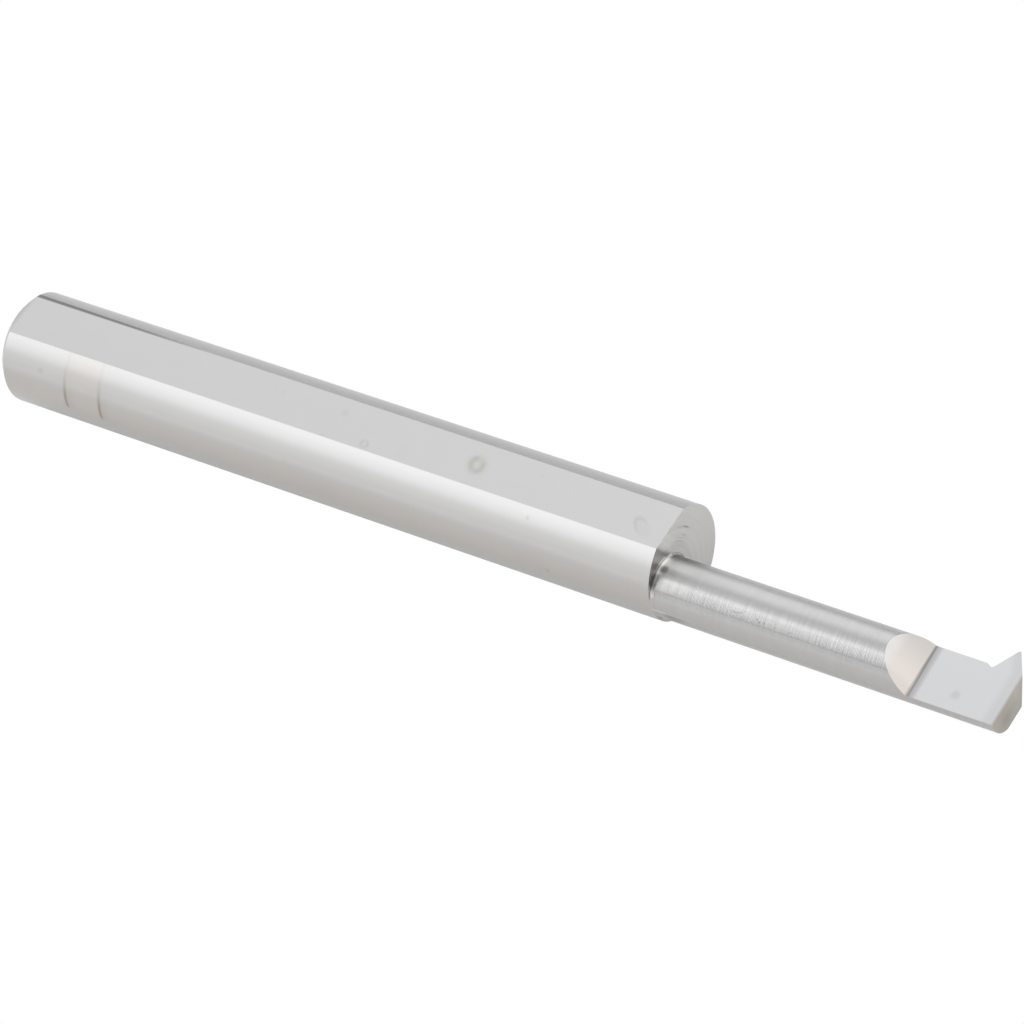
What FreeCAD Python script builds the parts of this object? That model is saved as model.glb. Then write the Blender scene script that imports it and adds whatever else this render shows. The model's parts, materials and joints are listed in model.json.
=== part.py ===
import FreeCAD, Part
import math
import os

# Solid carbide internal threading tool, one piece, ground from round stock.
# Millimetres and degrees.
# The origin is the centre of the shoulder, on the shank's axis.
# +X runs along the shank to the cutting end, +Y to the tooth, +Z square to the flat.

# Shank
SHANK_DIAMETER = 6.35
SHANK_LENGTH = 43.4
REAR_CHAMFER = 0.4
FLAT_DEPTH = 0.32

# Neck, off centre towards the back so that the tooth clears the bore
NECK_DIAMETER = 3.32
NECK_BACK_STEP = 0.005
NECK_DROP = 0.1
ROOT_FILLET = 0.16
REACH = 20.1

# Rake face at centre height, and the ramp that leads down to it
RAKE_LENGTH = 4.985
RAMP_ANGLE = 45.0
RAMP_FILLET = 0.12

# Tooth, as its outline on the rake face
THREAD_ANGLE = 60.0
TIP_OFFSET = 1.385
TIP_SETBACK = 0.843
CREST_RADIUS = 0.08
NOTCH_RADIUS = 0.15
NOTCH_DEPTH = 0.145
NOTCH_ANGLE = 30.0

# Clearance under the tooth
RELIEF_ANGLE = 21.5
HEEL_DEPTH = 0.9
HEEL_ANGLE = 45.0
HEAD_DEPTH = 1.645

# Derived sizes
SHANK_RADIUS = SHANK_DIAMETER / 2
FLAT_HEIGHT = SHANK_RADIUS - FLAT_DEPTH
NECK_RADIUS = NECK_DIAMETER / 2
NECK_Y = -(SHANK_RADIUS - NECK_RADIUS - NECK_BACK_STEP)
NECK_Z = -NECK_DROP
NECK_EDGE_Y = NECK_Y + math.sqrt(NECK_RADIUS ** 2 - NECK_Z ** 2)
TIP_X = REACH - TIP_SETBACK
RAMP_FOOT_X = REACH - RAKE_LENGTH

# How far each cutting shape runs out past the stock
OVERRUN = 1.0

AXIS = FreeCAD.Vector(1, 0, 0)


def point(x, y, z):
    return FreeCAD.Vector(x, y, z)


def line(start, end):
    return Part.LineSegment(start, end).toShape()


def arc(start, middle, end):
    return Part.Arc(start, middle, end).toShape()


def face(edges):
    return Part.Face(Part.Wire(edges))


def polygon(points):
    return Part.Face(Part.makePolygon(points + points[:1]))


def turned(outline, centre):
    """Solid of revolution of an outline drawn in the XZ plane, about a line along X."""
    return outline.revolve(centre, AXIS, 360)


def shank():
    """Round bar with a chamfered rear edge and one flat ground along its whole length."""
    rear = -SHANK_LENGTH
    outline = polygon([
        point(rear, 0, 0),
        point(rear, 0, SHANK_RADIUS - REAR_CHAMFER),
        point(rear + REAR_CHAMFER, 0, SHANK_RADIUS),
        point(0, 0, SHANK_RADIUS),
        point(0, 0, 0),
    ])
    bar = turned(outline, point(0, 0, 0))
    above_flat = Part.makeBox(
        SHANK_LENGTH + 2 * OVERRUN,
        SHANK_DIAMETER,
        FLAT_DEPTH + OVERRUN,
        point(rear - OVERRUN, -SHANK_RADIUS, FLAT_HEIGHT),
    )
    return bar.cut(above_flat)


def neck():
    """Thinner bar beside the shank's axis, flared by a fillet where it meets the shoulder."""
    axis = point(0, NECK_Y, NECK_Z)
    fillet_side = (1 - math.sqrt(0.5)) * ROOT_FILLET
    shoulder = axis + point(0, 0, NECK_RADIUS + ROOT_FILLET)
    flare = axis + point(fillet_side, 0, NECK_RADIUS + fillet_side)
    fillet_end = axis + point(ROOT_FILLET, 0, NECK_RADIUS)
    end = axis + point(REACH, 0, NECK_RADIUS)
    end_centre = axis + point(REACH, 0, 0)
    outline = face([
        line(axis, shoulder),
        arc(shoulder, flare, fillet_end),
        line(fillet_end, end),
        line(end, end_centre),
        line(end_centre, axis),
    ])
    # The flare stops at the shank's own round
    envelope = Part.makeCylinder(SHANK_RADIUS, REACH, point(0, 0, 0), AXIS)
    return turned(outline, axis).common(envelope)


def notch_centre():
    """Centre of the notch's round bottom at the foot of the tooth's rear flank.

    The bottom is tangent to that flank and dips below the neck's edge on the rake face.
    """
    half = math.radians(THREAD_ANGLE / 2)
    crest_y = TIP_OFFSET - CREST_RADIUS
    notch_y = NECK_EDGE_Y - NOTCH_DEPTH + NOTCH_RADIUS
    rise = crest_y - notch_y
    across = (CREST_RADIUS + NOTCH_RADIUS) / math.cos(half) + rise * math.tan(half)
    return TIP_X - across, notch_y


def head_blank():
    """Block beside the neck that the tooth is ground from, level with the rake face."""
    start_x = notch_centre()[0]
    return Part.makeBox(
        REACH - start_x,
        TIP_OFFSET - NECK_Y,
        HEAD_DEPTH,
        point(start_x, NECK_Y, -HEAD_DEPTH),
    )


def above_rake():
    """What the wheel removes above centre height, with the ramp at its rear end."""
    angle = math.radians(RAMP_ANGLE)
    reach_y = SHANK_RADIUS + OVERRUN
    top_z = SHANK_RADIUS + OVERRUN
    tangent = RAMP_FILLET * math.tan(angle / 2)
    rake_tangent = point(RAMP_FOOT_X + tangent, -reach_y, 0)
    ramp_tangent = point(
        RAMP_FOOT_X - tangent * math.cos(angle), -reach_y, tangent * math.sin(angle)
    )
    middle = point(
        rake_tangent.x - RAMP_FILLET * math.sin(angle / 2),
        -reach_y,
        RAMP_FILLET * (1 - math.cos(angle / 2)),
    )
    ramp_top = point(RAMP_FOOT_X - top_z / math.tan(angle), -reach_y, top_z)
    far_top = point(REACH + OVERRUN, -reach_y, top_z)
    far_rake = point(REACH + OVERRUN, -reach_y, 0)
    outline = face([
        line(ramp_top, ramp_tangent),
        arc(ramp_tangent, middle, rake_tangent),
        line(rake_tangent, far_rake),
        line(far_rake, far_top),
        line(far_top, ramp_top),
    ])
    return outline.extrude(point(0, 2 * reach_y, 0))


def beside_tooth():
    """What the form wheel removes around the tooth's outline, swept down the relief."""
    half = math.radians(THREAD_ANGLE / 2)
    slope = math.radians(NOTCH_ANGLE)
    relief = math.tan(math.radians(RELIEF_ANGLE))
    notch_x, notch_y = notch_centre()
    crest_y = TIP_OFFSET - CREST_RADIUS
    side = math.cos(half)
    drop = math.sin(half)
    outer_y = TIP_OFFSET + 2 * OVERRUN
    end_x = REACH + OVERRUN

    slope_foot = point(
        notch_x - NOTCH_RADIUS * math.sin(slope), notch_y - NOTCH_RADIUS * math.cos(slope), 0
    )
    slope_top = slope_foot + point(-OVERRUN / math.tan(slope), OVERRUN, 0)
    notch_bottom = point(notch_x, notch_y - NOTCH_RADIUS, 0)
    flank_foot = point(notch_x + NOTCH_RADIUS * side, notch_y - NOTCH_RADIUS * drop, 0)
    crest_rear = point(TIP_X - CREST_RADIUS * side, crest_y + CREST_RADIUS * drop, 0)
    crest = point(TIP_X, TIP_OFFSET, 0)
    crest_front = point(TIP_X + CREST_RADIUS * side, crest_rear.y, 0)
    flank_end = point(end_x, crest_front.y - (end_x - crest_front.x) / math.tan(half), 0)
    outer_end = point(end_x, outer_y, 0)
    outer_rear = point(slope_top.x, outer_y, 0)
    outline = face([
        line(outer_rear, slope_top),
        line(slope_top, slope_foot),
        arc(slope_foot, notch_bottom, flank_foot),
        line(flank_foot, crest_rear),
        arc(crest_rear, crest, crest_front),
        line(crest_front, flank_end),
        line(flank_end, outer_end),
        line(outer_end, outer_rear),
    ])
    depth = SHANK_RADIUS + 2 * OVERRUN
    outline.translate(point(0, relief * OVERRUN, OVERRUN))
    return outline.extrude(point(0, -relief * depth, -depth))


def below_heel():
    """Second clearance, below the first, that keeps the tooth's heel off the bore."""
    relief = math.tan(math.radians(RELIEF_ANGLE))
    heel = math.tan(math.radians(HEEL_ANGLE))
    start_x = notch_centre()[0] - OVERRUN
    bottom_z = -HEAD_DEPTH - OVERRUN
    start_y = TIP_OFFSET - relief * HEEL_DEPTH
    outer_y = TIP_OFFSET + OVERRUN
    outline = polygon([
        point(start_x, start_y, -HEEL_DEPTH),
        point(start_x, outer_y, -HEEL_DEPTH),
        point(start_x, outer_y, bottom_z),
        point(start_x, start_y - heel * (-HEEL_DEPTH - bottom_z), bottom_z),
    ])
    return outline.extrude(point(REACH + OVERRUN - start_x, 0, 0))


def below_head():
    """What is ground off the round below the head, so that its underside is one flat."""
    start_x = notch_centre()[0]
    width = SHANK_RADIUS + OVERRUN
    return Part.makeBox(
        REACH + OVERRUN - start_x,
        2 * width,
        width - HEAD_DEPTH,
        point(start_x, -width, -width),
    )


def threading_tool():
    """The whole tool as one solid."""
    stock = shank().fuse([neck(), head_blank()])
    ground = stock.cut([above_rake(), beside_tooth(), below_heel(), below_head()])
    return ground.removeSplitter()


os.makedirs("parts", exist_ok=True)
threading_tool().exportStep("parts/threading_tool.step")
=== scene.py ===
import json
import math

import bmesh
import bpy
import numpy as np
from mathutils import Matrix, Vector


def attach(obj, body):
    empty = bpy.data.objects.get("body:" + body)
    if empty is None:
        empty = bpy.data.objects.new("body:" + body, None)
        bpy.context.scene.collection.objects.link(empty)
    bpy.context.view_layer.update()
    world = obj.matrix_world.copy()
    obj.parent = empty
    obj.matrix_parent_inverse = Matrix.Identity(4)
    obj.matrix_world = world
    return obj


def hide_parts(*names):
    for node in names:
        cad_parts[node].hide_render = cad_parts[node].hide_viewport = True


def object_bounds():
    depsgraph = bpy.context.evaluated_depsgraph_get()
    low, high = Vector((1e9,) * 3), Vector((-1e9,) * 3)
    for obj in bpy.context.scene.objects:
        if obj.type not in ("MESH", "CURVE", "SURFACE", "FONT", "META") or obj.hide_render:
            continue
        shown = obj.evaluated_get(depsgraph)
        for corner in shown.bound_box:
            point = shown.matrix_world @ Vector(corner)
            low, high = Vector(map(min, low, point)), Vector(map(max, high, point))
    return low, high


bl_info = {
    "name": "Internal threading tool",
    "version": (1, 0, 0),
    "blender": (4, 5, 0),
    "location": "3D View > Sidebar > Threading tool",
    "description": "Solid carbide internal threading tool, ground all over, on a lit white table",
    "category": "Add Mesh",
}

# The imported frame. Its axes: +X to the cutting end, +Y to the tooth, +Z square to the flat
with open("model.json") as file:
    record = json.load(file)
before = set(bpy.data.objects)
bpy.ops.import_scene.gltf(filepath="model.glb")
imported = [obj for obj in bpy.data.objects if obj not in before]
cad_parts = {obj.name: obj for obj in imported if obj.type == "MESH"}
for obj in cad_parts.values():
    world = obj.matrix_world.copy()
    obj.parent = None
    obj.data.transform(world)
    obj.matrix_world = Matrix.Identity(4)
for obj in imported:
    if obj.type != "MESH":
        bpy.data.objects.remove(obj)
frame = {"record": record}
CAD_LOW, CAD_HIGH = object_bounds()
SHANK_MOUNT = next(m for m in frame["record"]["mounts"] if m["name"] == "shank")
SHANK_RADIUS = SHANK_MOUNT["dims"]["r_mm"]
NODE = "threading_tool"
BODY = "root"
MM = 0.001

# Mesh: columns in each span of a section, how near two points are merged, and which edges are sharp
COLUMNS = {"top": 40, "side": 64, "relief": 16, "heel": 12, "bottom": 12, "back": 112}
SPANS = list(COLUMNS)
MERGE = 5e-8
SHARP_ANGLE = math.radians(12)


def distance(name, description, default):
    """A length in metres that is given here in millimetres."""
    return bpy.props.FloatProperty(
        name=name, description=description, default=default * MM, unit="LENGTH", precision=5
    )


def angle(name, description, default):
    """An angle that is given here in degrees."""
    return bpy.props.FloatProperty(
        name=name, description=description, default=math.radians(default), subtype="ANGLE"
    )


def colour(name, description, default):
    """A linear colour without alpha."""
    return bpy.props.FloatVectorProperty(
        name=name, description=description, default=default, subtype="COLOR", size=3, min=0, max=1
    )


def share(name, description, default, high=1.0):
    """A plain number from nought."""
    return bpy.props.FloatProperty(name=name, description=description, default=default, min=0, max=high)


class ThreadingToolSizes(bpy.types.PropertyGroup):
    """Sizes of the ground bar. Those that the frame gives are read from it."""

    shank_diameter: distance("Shank diameter", "Across the round of the shank", 2 * SHANK_RADIUS)
    rear: distance("Rear face", "Place of the rear face along the bar", CAD_LOW.x / MM)
    reach: distance("Reach", "From the shoulder to the cutting end", CAD_HIGH.x / MM)
    flat_height: distance("Flat height", "From the shank's axis to the clamping flat", CAD_HIGH.z / MM)
    rear_chamfer: distance("Rear chamfer", "Leg of the chamfer round the rear edge", 0.4)
    neck_diameter: distance("Neck diameter", "Across the thinner bar", 3.32)
    neck_back_step: distance("Neck back step", "From the back of the shank to the back of the neck", 0.005)
    neck_drop: distance("Neck drop", "How far the neck's axis lies below the shank's", 0.1)
    root_fillet: distance("Root fillet", "Radius between neck and shoulder", 0.16)
    rake_length: distance("Rake length", "From the foot of the ramp to the cutting end", 4.985)
    ramp_angle: angle("Ramp angle", "Slope of the ramp down to the rake face", 45)
    ramp_fillet: distance("Ramp fillet", "Radius at the foot of the ramp", 0.12)
    thread_angle: angle("Thread angle", "Between the two flanks of the tooth", 60)
    tip_offset: distance("Tip offset", "From the shank's axis to the crest of the tooth", 1.385)
    tip_setback: distance("Tip setback", "From the crest of the tooth to the cutting end", 0.843)
    crest_radius: distance("Crest radius", "Radius of the tooth's crest", 0.08)
    notch_radius: distance("Notch radius", "Radius at the bottom of the notch", 0.15)
    notch_depth: distance("Notch depth", "How far the notch dips below the neck's edge", 0.145)
    notch_angle: angle("Notch angle", "Slope of the notch's rear side", 30)
    relief_angle: angle("Relief angle", "Clearance below the cutting edge", 21.5)
    heel_depth: distance("Heel depth", "Depth at which the second clearance starts", 0.9)
    heel_angle: angle("Heel angle", "Second clearance, from the vertical", 45)
    head_depth: distance("Head depth", "From the rake face to the flat under the head", 1.645)


class ThreadingToolFinish(bpy.types.PropertyGroup):
    """Colours and gloss of the ground carbide and of what has dried on it."""

    carbide: colour("Carbide", "Reflected colour of bright ground carbide", (0.405, 0.405, 0.405))
    stain: colour("Stain", "Brown of dried coolant", (0.20, 0.165, 0.125))
    # This dark grey is grinding residue in some marks, and painted shade and painted dark reflections in
    # others
    residue_and_shade: colour("Residue", "Dark grey of grinding residue in a corner", (0.15, 0.145, 0.14))
    shank_gloss: share("Shank roughness", "Roughness of the finely ground shank", 0.28)
    neck_gloss: share("Neck roughness", "Roughness of the neck and head", 0.26)
    flat_gloss: share("Flat roughness", "Roughness of the clamping flat", 0.3)


class ThreadingToolStage(bpy.types.PropertyGroup):
    """The lit white table, the light round it and the camera."""

    table_glow: share("Table glow", "Light that the table itself gives to the tool", 0.276, 5)
    table_white: share("Table white", "How much of the room's light the table sends back", 0.572)
    near_glow: share("Near glow", "How much stronger the table glows on the near side, as a share", 0.55, 5)
    room_light: share("Room light", "Strength of the soft light overhead", 1.0, 5)
    panel_light: share("Panel light", "Strength of the bright panel over the near side", 1.0, 9)
    panel_half: share("Panel half width", "Half width of the panel, as a direction along X", 0.2)
    table_radius: distance("Table radius", "Radius of the round table top", 4000)
    lens: bpy.props.FloatProperty(
        name="Lens", description="Focal length for a 36 mm sensor", default=167.06, unit="CAMERA"
    )
    camera_distance: distance("Camera distance", "From the camera to the point it looks at", 250)
    camera_turn: angle("Camera turn", "Heading of the view, from +Y towards +X", -48.428)
    camera_tilt: angle("Camera tilt", "How steeply the camera looks down", 48.159)
    camera_roll: angle("Camera roll", "Turn of the picture about the line of sight", -21.398)
    aim: bpy.props.FloatVectorProperty(
        name="Aim", description="Point that the camera looks at", subtype="TRANSLATION",
        default=(-10.186 * MM, -0.625 * MM, 0.429 * MM),
    )


# The bar as one surface. A section is six corner points round the neck's axis, joined by straight
# spans or by the round of the bar. Rows of sections follow the bar from its rear face to its end.


class Bar:
    """Sizes of the bar in millimetres, and the ones that follow from them."""

    def __init__(self, sizes):
        for name in ThreadingToolSizes.__annotations__:
            value = getattr(sizes, name)
            setattr(self, name, value if name.endswith("_angle") else value / MM)
        self.shank_r = self.shank_diameter / 2
        self.neck_r = self.neck_diameter / 2
        self.neck_y = -(self.shank_r - self.neck_r - self.neck_back_step)
        self.neck_z = -self.neck_drop
        half_width = math.sqrt(self.neck_r**2 - self.neck_z**2)
        self.edge_y, self.back_y = self.neck_y + half_width, self.neck_y - half_width
        self.relief = math.tan(self.relief_angle)
        self.heel = math.tan(self.heel_angle)
        half = self.thread_angle / 2
        self.flank_slope = 1 / math.tan(half)
        self.tip_x = self.reach - self.tip_setback
        self.crest_y = self.tip_offset - self.crest_radius
        self.crest_side = self.crest_radius * math.cos(half)
        self.notch_y = self.edge_y - self.notch_depth + self.notch_radius
        across = (self.crest_radius + self.notch_radius) / math.cos(half)
        self.notch_x = self.tip_x - across - (self.crest_y - self.notch_y) * math.tan(half)
        self.flank_foot_x = self.notch_x + self.notch_radius * math.cos(half)
        self.flank_foot_y = self.notch_y - self.notch_radius * math.sin(half)
        self.slope_x = self.notch_x - self.notch_radius * math.sin(self.notch_angle)
        self.slope_y = self.notch_y - self.notch_radius * math.cos(self.notch_angle)
        self.foot_x = self.reach - self.rake_length
        self.ramp_tangent = self.ramp_fillet * math.tan(self.ramp_angle / 2)
        self.ramp_top_x = self.foot_x - (self.neck_r + self.neck_z) / math.tan(self.ramp_angle)
        # The relief first meets the neck's round where its slant is tangent to that round
        lean = math.hypot(1, self.relief)
        self.meet_y = self.neck_y + self.neck_r * lean - self.neck_z * self.relief
        self.meet_x = self.slope_x - (self.meet_y - self.slope_y) / math.tan(self.notch_angle)
        self.upper_cut, self.lower_cut = self.relief_on_neck(self.meet_y)
        under_y = self.neck_y - math.sqrt(self.neck_r**2 - (self.head_depth + self.neck_z) ** 2)
        self.underside = np.array([under_y, -self.head_depth])

    def relief_on_neck(self, edge):
        """Depths at which a relief line that starts at y = edge crosses the neck's round.

        The line is y = edge - relief * depth. Put into the circle of the neck, it gives a
        quadratic in depth, whose two roots are the crossings.
        """
        a = np.asarray(edge, float) - self.neck_y
        lead = 1 + self.relief**2
        middle = self.neck_z - a * self.relief
        rest = a**2 + self.neck_z**2 - self.neck_r**2
        root = np.sqrt(np.maximum(middle**2 - lead * rest, 0))
        return (-middle - root) / lead, (-middle + root) / lead

    def around(self, y, z):
        """Angle of a point about the neck's axis, from +Y towards +Z."""
        return np.arctan2(np.asarray(z) - self.neck_z, np.asarray(y) - self.neck_y)

    def on_round(self, phi, bar_r, neck_r):
        """Points (y, z) on the bar's round, seen from the neck's axis at angle phi.

        The distance is the smaller of the neck's radius and of the way from the neck's axis
        to the circle of radius bar_r about the shank's axis.
        """
        cos, sin = np.cos(phi), np.sin(phi)
        along = self.neck_y * cos + self.neck_z * sin
        offset = self.neck_y**2 + self.neck_z**2
        to_bar = -along + np.sqrt(along**2 - offset + bar_r**2)
        reach = np.minimum(to_bar, neck_r)
        return np.stack([self.neck_y + reach * cos, self.neck_z + reach * sin], -1)

    def fixed_corners(self, bar_r, neck_r):
        """The lower four corners where the bar is round, at the angles that the head needs."""
        first = self.around(self.meet_y - self.relief * self.upper_cut, -self.upper_cut)
        second = self.around(self.meet_y - self.relief * self.lower_cut, -self.lower_cut)
        last = self.around(*self.underside)
        phis = [first, second, (second + last) / 2, last]
        return [self.on_round(phi, bar_r, neck_r) for phi in phis]

    def tooth_edge(self, x):
        """y of the tooth's outline on the rake face at x: notch, rear flank, crest, front flank."""
        bottom = np.sqrt(np.maximum(self.notch_radius**2 - (x - self.notch_x) ** 2, 0))
        slope = self.slope_y + (self.slope_x - x) * math.tan(self.notch_angle)
        notch = np.where(x < self.slope_x, slope, self.notch_y - bottom)
        rear_flank = self.flank_foot_y + (x - self.flank_foot_x) * self.flank_slope
        behind = np.where(x < self.flank_foot_x, notch, rear_flank)
        off = x - self.tip_x
        crest = self.crest_y + np.sqrt(np.maximum(self.crest_radius**2 - off**2, 0))
        flank_top = self.crest_y + self.crest_radius * math.sin(self.thread_angle / 2)
        front_flank = flank_top - (off - self.crest_side) * self.flank_slope
        ahead = np.where(np.abs(off) <= self.crest_side, crest, front_flank)
        return np.where(x < self.tip_x - self.crest_side, behind, ahead)


def section_rows(bar, x, bar_r, neck_r, corners, straight):
    """Closed sections as an array of rows, columns and x, y, z.

    corners holds six points (y, z) for each row, in falling angle about the neck's axis from
    the top left. A straight span is the chord between two corners, cut into equal parts. A
    round span has equal angles between its corners, with each point on the bar's round. Where
    the two corners of a round span are one point, the whole span is that point.
    """
    bar_r, neck_r = (np.broadcast_to(r, x.shape)[:, None] for r in (bar_r, neck_r))
    points = np.stack([np.broadcast_to(c, (len(x), 2)) for c in corners], 1)
    following = np.roll(points, -1, axis=1)
    parts = []
    for i, span in enumerate(SPANS):
        share_of_span = np.arange(COLUMNS[span]) / COLUMNS[span]
        start, end = points[:, i], following[:, i]
        chord = start[:, None] + (end - start)[:, None] * share_of_span[None, :, None]
        if span in straight:
            parts.append(chord)
            continue
        phi_start, phi_end = bar.around(start[:, 0], start[:, 1]), bar.around(end[:, 0], end[:, 1])
        turn = (phi_end - phi_start) % (-2 * math.pi)
        turn = np.where(turn < -1.999 * math.pi, 0.0, turn)
        phi = phi_start[:, None] + turn[:, None] * share_of_span[None, :]
        apart = np.linalg.norm(end - start, axis=-1) > 1e-9
        curve = bar.on_round(phi, bar_r, neck_r)
        parts.append(np.where(apart[:, None, None], curve, chord))
    flat = np.concatenate(parts, 1)
    across = np.broadcast_to(x[:, None], flat.shape[:2])
    return np.concatenate([across[..., None], flat], -1)


def shank_rows(bar, bar_r, x):
    """Shank: a circle cut by the flat, which is a chord at the flat's height."""
    height = np.minimum(bar_r, bar.flat_height)
    half_width = np.sqrt(np.maximum(bar_r**2 - height**2, 0))
    corners = [
        np.stack([-half_width, height], -1),
        np.stack([half_width, height], -1),
        *bar.fixed_corners(bar_r, np.inf),
    ]
    return section_rows(bar, x, bar_r, np.inf, corners, {"top"})


def rear_chamfer_rows(bar):
    """Cone of the rear chamfer. Its flat opens as the square root of the height over it."""
    small = bar.shank_r - bar.rear_chamfer
    opening = np.linspace(0, math.acos(bar.flat_height / bar.shank_r), 12)
    bar_r = np.concatenate([[small], bar.flat_height / np.cos(opening)])
    return shank_rows(bar, bar_r, bar.rear + bar_r - small)


def shank_length_rows(bar):
    x = np.linspace(bar.rear + bar.rear_chamfer, 0, 44)
    return shank_rows(bar, np.full_like(x, bar.shank_r), x)


def neck_length_rows(bar):
    """Neck, full round, with its flare at the shoulder.

    The flare is a quarter circle of the fillet's radius. The two top corners wander from
    the ends of the flat to the top of the neck, where the ramp begins.
    """
    quarter = np.linspace(math.pi / 2, 0, 11)
    fillet = bar.root_fillet
    flare_x = fillet * (1 - np.sin(quarter))
    flare_r = bar.neck_r + fillet * (1 - np.cos(quarter))
    x = np.concatenate([flare_x, np.linspace(fillet, bar.ramp_top_x, 72)[1:]])
    neck_r = np.concatenate([flare_r, np.full(71, bar.neck_r)])
    half_width = math.sqrt(bar.shank_r**2 - bar.flat_height**2)
    top = math.pi / 2
    way = x / bar.ramp_top_x
    left = bar.around(-half_width, bar.flat_height)
    right = bar.around(half_width, bar.flat_height)
    corners = [
        bar.on_round(left + (top - left) * way, bar.shank_r, neck_r),
        bar.on_round(right + (top - right) * way, bar.shank_r, neck_r),
        *bar.fixed_corners(bar.shank_r, neck_r),
    ]
    return section_rows(bar, x, bar.shank_r, neck_r, corners, set())


def cut_neck_rows(bar, x, height):
    """Neck's round below a plane cut at the given height."""
    half_width = np.sqrt(np.maximum(bar.neck_r**2 - (height - bar.neck_z) ** 2, 0))
    corners = [
        np.stack([bar.neck_y - half_width, height], -1),
        np.stack([bar.neck_y + half_width, height], -1),
        *bar.fixed_corners(bar.shank_r, bar.neck_r),
    ]
    return section_rows(bar, x, bar.shank_r, bar.neck_r, corners, {"top"})


def ramp_rows(bar):
    """Ramp from the top of the neck down to the fillet, and the fillet down to the rake face.

    The ramp is a plane through the neck's round, so its rows have equal steps of the angle
    whose cosine is their height over the neck's axis. The fillet is an arc of the ramp's
    angle, tangent to ramp and rake face.
    """
    fillet_top = bar.ramp_tangent * math.sin(bar.ramp_angle)
    last = math.acos((fillet_top - bar.neck_z) / bar.neck_r)
    height = bar.neck_z + bar.neck_r * np.cos(np.linspace(0, last, 28))
    x = bar.foot_x - height / math.tan(bar.ramp_angle)
    turn = np.linspace(bar.ramp_angle, 0, 10)[1:]
    arc_x = bar.foot_x + bar.ramp_tangent - bar.ramp_fillet * np.sin(turn)
    arc_height = bar.ramp_fillet * (1 - np.cos(turn))
    return cut_neck_rows(bar, np.concatenate([x, arc_x]), np.concatenate([height, arc_height]))


def rake_rows(bar):
    x = np.linspace(bar.foot_x + bar.ramp_tangent, bar.meet_x, 14)
    return cut_neck_rows(bar, x, np.zeros_like(x))


def notch_rows(bar):
    """Notch from where it first meets the neck's round to its bottom, cut along the relief.

    The rows draw together towards the meeting point, where the cut opens as a square root,
    and towards the place where the cut reaches the rake face.
    """
    edge_x = bar.slope_x - (bar.edge_y - bar.slope_y) / math.tan(bar.notch_angle)
    opening = 1 - np.cos(np.linspace(0, math.pi, 12))
    bottom = np.linspace(bar.notch_angle, 0, 8)[1:]
    x = np.concatenate([
        bar.meet_x + (edge_x - bar.meet_x) * opening / 2,
        np.linspace(edge_x, bar.slope_x, 6)[1:],
        bar.notch_x - bar.notch_radius * np.sin(bottom),
    ])
    edge = bar.tooth_edge(x)
    upper, lower = bar.relief_on_neck(edge)
    upper = np.where(edge < bar.edge_y, 0.0, upper)
    lower_corner = np.stack([edge - bar.relief * lower, -lower], -1)
    middle = (bar.around(lower_corner[:, 0], lower_corner[:, 1]) + bar.around(*bar.underside)) / 2
    corners = [
        np.array([bar.back_y, 0.0]),
        np.stack([np.minimum(edge, bar.edge_y), np.zeros_like(x)], -1),
        np.stack([edge - bar.relief * upper, -upper], -1),
        lower_corner,
        bar.on_round(middle, bar.shank_r, bar.neck_r),
        bar.underside,
    ]
    return section_rows(bar, x, bar.shank_r, bar.neck_r, corners, {"top", "relief"})


def tooth_rows(bar):
    """The head from the bottom of the notch to the cutting end.

    Below the tooth's outline the relief runs back at its slope, down to the second
    clearance or to the underside of the head, whichever comes first.
    """
    half = bar.thread_angle / 2
    foot = bar.flank_foot_x
    heel_edge = bar.tip_offset - (bar.head_depth - bar.heel_depth) * (bar.heel - bar.relief)
    heel_start = foot + (heel_edge - bar.flank_foot_y) / bar.flank_slope
    crest_end = bar.tip_x + bar.crest_side
    heel_end = crest_end + (bar.tooth_edge(crest_end) - heel_edge) / bar.flank_slope
    crest = bar.tip_x - bar.crest_radius * np.cos(np.linspace(half, math.pi - half, 16))
    x = np.concatenate([
        bar.notch_x + bar.notch_radius * np.sin(np.linspace(0, math.pi / 2 - half, 14)),
        np.linspace(foot, heel_start, 10)[1:],
        np.linspace(heel_start, bar.tip_x - bar.crest_side, 7)[1:],
        crest[1:],
        np.linspace(crest_end, heel_end, 7)[1:],
        np.linspace(heel_end, bar.reach, 10)[1:],
    ])
    edge = bar.tooth_edge(x)
    depth = bar.heel_depth + (bar.tip_offset - edge) / (bar.heel - bar.relief)
    depth = np.minimum(depth, bar.head_depth)
    bottom_y = bar.tip_offset - bar.relief * bar.heel_depth
    bottom_y = bottom_y - bar.heel * (bar.head_depth - bar.heel_depth)
    bottom_y = np.minimum(edge - bar.relief * bar.head_depth, bottom_y)
    top_right = np.stack([edge, np.zeros_like(x)], -1)
    corners = [
        np.array([bar.back_y, 0.0]),
        top_right,
        top_right,
        np.stack([edge - bar.relief * depth, -depth], -1),
        np.stack([bottom_y, np.full_like(x, -bar.head_depth)], -1),
        bar.underside,
    ]
    straight = {"top", "side", "relief", "heel", "bottom"}
    return section_rows(bar, x, bar.shank_r, bar.neck_r, corners, straight)


def between(first, second, rows):
    """Flat face in equal steps, from a ring to another one or to a point at the same x."""
    way = np.linspace(0, 1, rows)[:, None, None]
    return first * (1 - way) + second * way


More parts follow.
